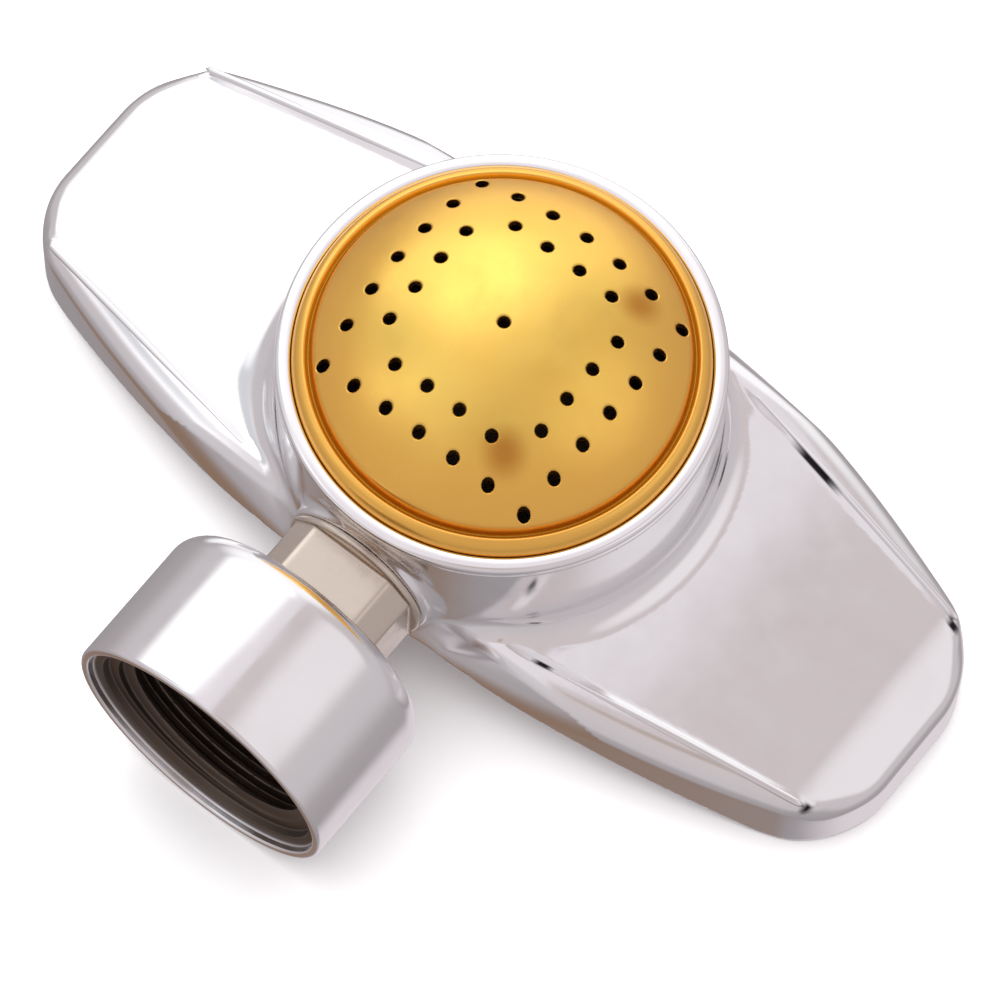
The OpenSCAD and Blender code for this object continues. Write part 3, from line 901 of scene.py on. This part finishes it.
def make_floor():
    """A pale matt floor at the ground, not seen in the metal."""
    half = 3.0
    corners = [(-half, -half, 0), (half, -half, 0), (half, half, 0), (-half, half, 0)]
    mesh = bpy.data.meshes.new("floor")
    mesh.from_pydata(corners, [], [(0, 1, 2, 3)])
    floor = bpy.data.objects.new("floor", mesh)
    bpy.context.scene.collection.objects.link(floor)
    material, n, shader, coords = start_material("pale_floor", "ShaderNodeBsdfDiffuse")
    n.link(n.mix(n.noise(coords, 3.0), (0.90, 0.90, 0.90), (0.93, 0.93, 0.93)), shader.inputs["Color"])
    mesh.materials.append(material)
    floor.visible_glossy = False


# Soft patches of the studio: towards, radius of the even middle and of the faded edge in degrees, and colour.
SOFT_PATCHES = [((-0.45, 0.85, 0.25), 20, 42, (1.10, 1.09, 1.10)),
                ((-0.72, -0.02, 0.66), 10, 27, (0.70, 0.71, 0.74)),
                ((-0.52, 0.45, 0.72), 12, 26, (1.60, 1.59, 1.60)),
                ((-0.80, 0.32, 0.51), 10, 21, (1.30, 1.29, 1.30)),
                ((0.62, 0.30, 0.72), 14, 30, (0.87, 0.83, 0.85)),
                ((0.22, 0.30, -0.93), 14, 34, (0.74, 0.68, 0.71)),
                ((-0.30, -0.80, 0.45), 10, 28, (0.66, 0.63, 0.65)),
                ((-0.24, -0.50, -0.83), 8, 30, (0.27, 0.18, 0.13)),
                ((0.20, -0.33, 0.92), 2, 12, (0.50, 0.42, 0.38))]


def make_world():
    """A soft studio: a grey-lavender room, darker below and brighter up on the left, with soft patches."""
    world = bpy.data.worlds.new("studio")
    bpy.context.scene.world = world
    world.use_nodes = True
    n = Nodes(world.node_tree, "ShaderNodeOutputWorld")
    direction = n.new("ShaderNodeTexCoord").outputs["Generated"]
    across, _, height = n.split(direction)
    below = n.mix(n.span(height, -1.0, -0.4), (0.34, 0.315, 0.33), (0.42, 0.385, 0.395))
    above = n.mix(n.span(height, 0.05, 0.8), (0.60, 0.565, 0.585), (0.65, 0.585, 0.59))
    colour = n.mix(n.span(height, -0.45, 0.0), below, above)
    left_light = n.mix(n.span(across, -0.30, -0.44), (0.84, 0.795, 0.83), (1.15, 1.13, 1.15))
    left_half = n.mix(n.span(height, 0.3, 0.7), above, left_light)
    leftness = n.times(n.span(across, 0.006, -0.030), n.span(height, 0.1, 0.4))
    colour = n.mix(leftness, colour, left_half)
    for towards, core, edge, tone in SOFT_PATCHES:
        facing = n.measure("DOT_PRODUCT", direction, Vector(towards).normalized())
        glow = n.span(facing, math.cos(math.radians(edge)), math.cos(math.radians(core)))
        colour = n.mix(glow, colour, tone)
    background = n.new("ShaderNodeBackground")
    n.link(colour, background.inputs["Color"])
    background.inputs["Strength"].default_value = 1.0
    n.link(background.outputs[0], n.out.inputs["Surface"])


def make_overhead():
    """A large overhead soft light that lifts the floor to white; it isn't seen in the metal."""
    light = bpy.data.lights.new("overhead", "AREA")
    light.shape, light.size, light.energy = "DISK", 2.4, 40.0
    spot = Vector((-0.25, 0.2, 1.6))
    lamp = bpy.data.objects.new("overhead", light)
    lamp.location = spot
    lamp.rotation_euler = (-spot).to_track_quat("-Z", "Y").to_euler()
    lamp.visible_glossy = False
    bpy.context.scene.collection.objects.link(lamp)


def make_camera():
    """Long lens from above the right front of the object, rolled a little."""
    azimuth, elevation, roll = math.radians(35.9), math.radians(68.14), math.radians(2.70)
    distance, lens = 816.0, 259.4
    aim_left, aim_down = 0.24, 15.6
    level = Vector((math.cos(azimuth), math.sin(azimuth), 0))
    ahead = Vector((-math.sin(azimuth), math.cos(azimuth), 0))
    back = Vector((0, 0, math.sin(elevation))) - ahead * math.cos(elevation)
    upright = back.cross(level)
    right = math.cos(roll) * level + math.sin(roll) * upright
    up = -math.sin(roll) * level + math.cos(roll) * upright
    rim_centre = Vector((0, 0, RIM_BOTTOM + SHEET))
    place_mm = rim_centre - right * aim_left - up * aim_down + back * distance
    data = bpy.data.cameras.new("camera")
    data.lens, data.sensor_width = lens, 36.0
    data.clip_start, data.clip_end = 0.01, 20.0
    camera = bpy.data.objects.new("camera", data)
    rotation = Matrix((right, up, back)).transposed().to_4x4()
    camera.matrix_world = Matrix.Translation(place_mm * MM) @ rotation
    bpy.context.scene.collection.objects.link(camera)
    bpy.context.scene.camera = camera


make_floor()
make_world()
make_overhead()
make_camera()
bpy.context.scene.view_settings.view_transform = "Standard"
